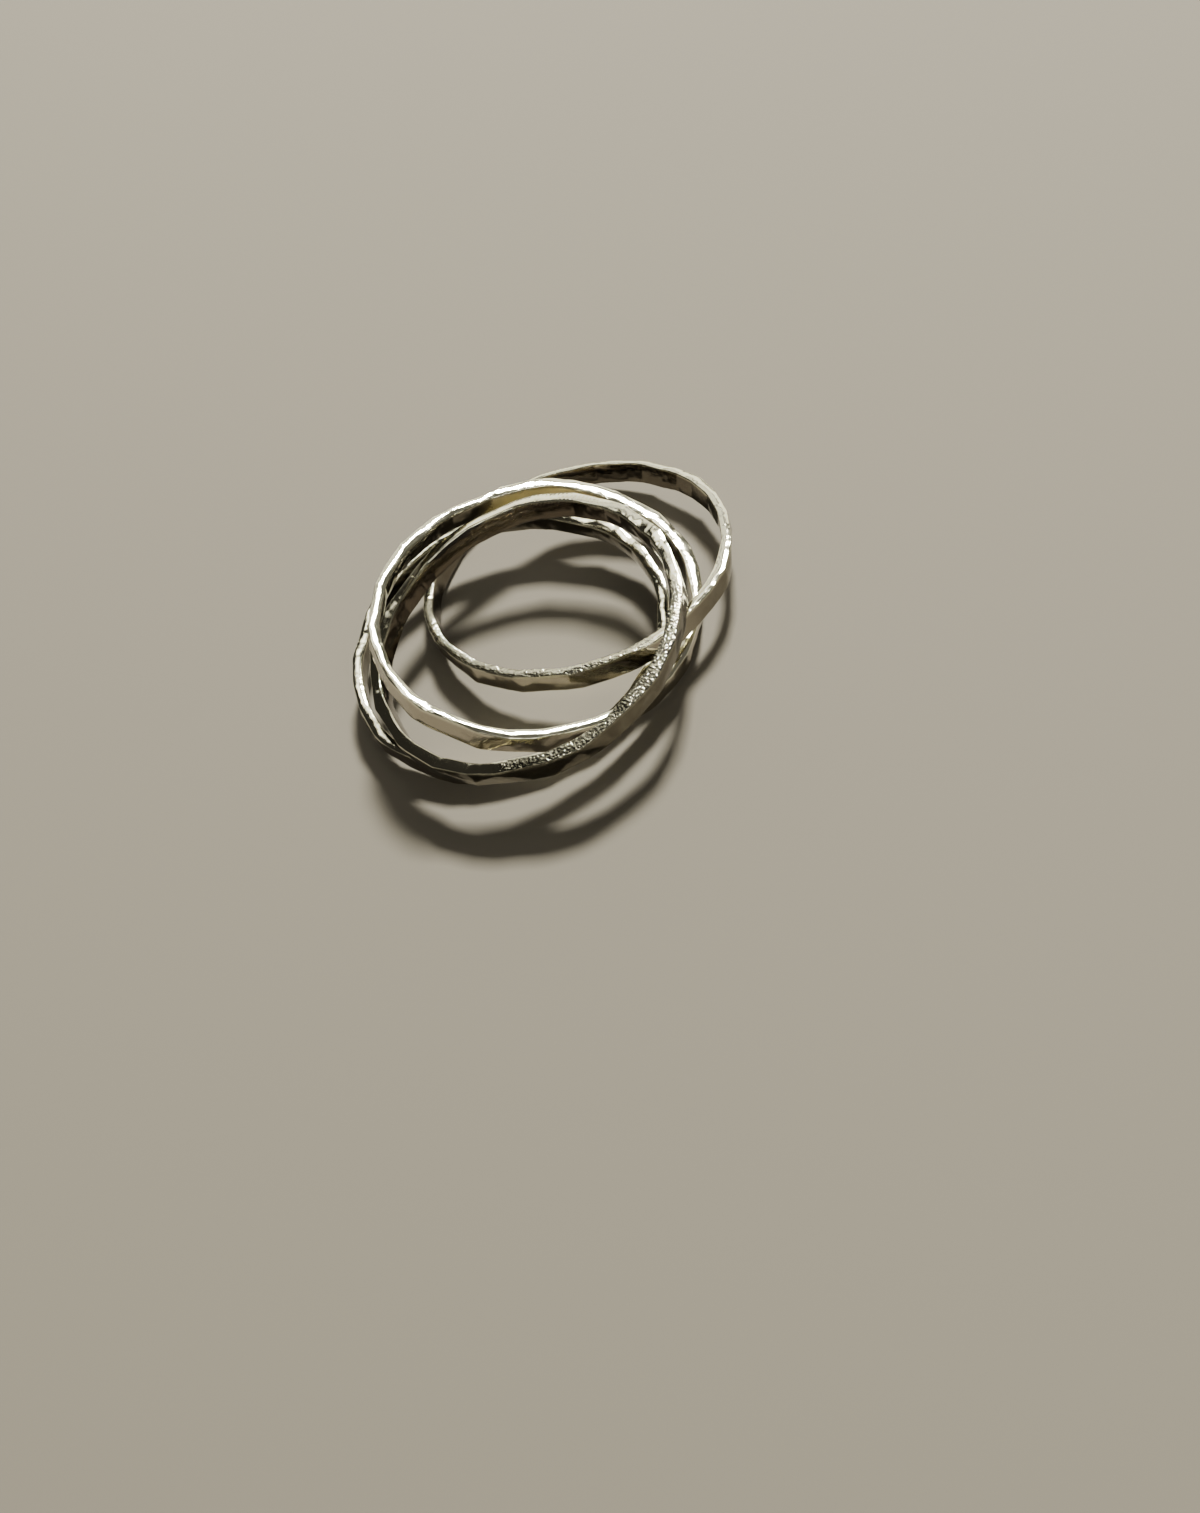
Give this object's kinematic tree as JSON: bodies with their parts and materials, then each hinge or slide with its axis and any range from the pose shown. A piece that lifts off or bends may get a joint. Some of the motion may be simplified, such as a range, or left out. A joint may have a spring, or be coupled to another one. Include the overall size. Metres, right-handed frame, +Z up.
{
  "type": "interlocking finger ring",
  "caption": "Finger ring of plain hammered silver bands linked through each other, lying loose in a tilted pile; the bands gather round one finger when worn.",
  "frame": {"origin": "centre of the lying pile's plan outline, on the surface that it rests on", "axes": "+Z up from the surface, +Y away from the viewer along the line of sight laid flat, +X to the viewer's right"},
  "size_m": [0.024, 0.0238, 0.0063],
  "materials": {
    "polished_silver": "polished, with hammered flats",
    "rough_silver": "hammered flats, side face roughened to a sparkle"
  },
  "bodies": {
    "root": {"band_upper_right": "polished_silver", "band_bright_side": "polished_silver", "band_rough_front": "rough_silver", "band_outer_left": "polished_silver"}
  },
  "joints": []
}
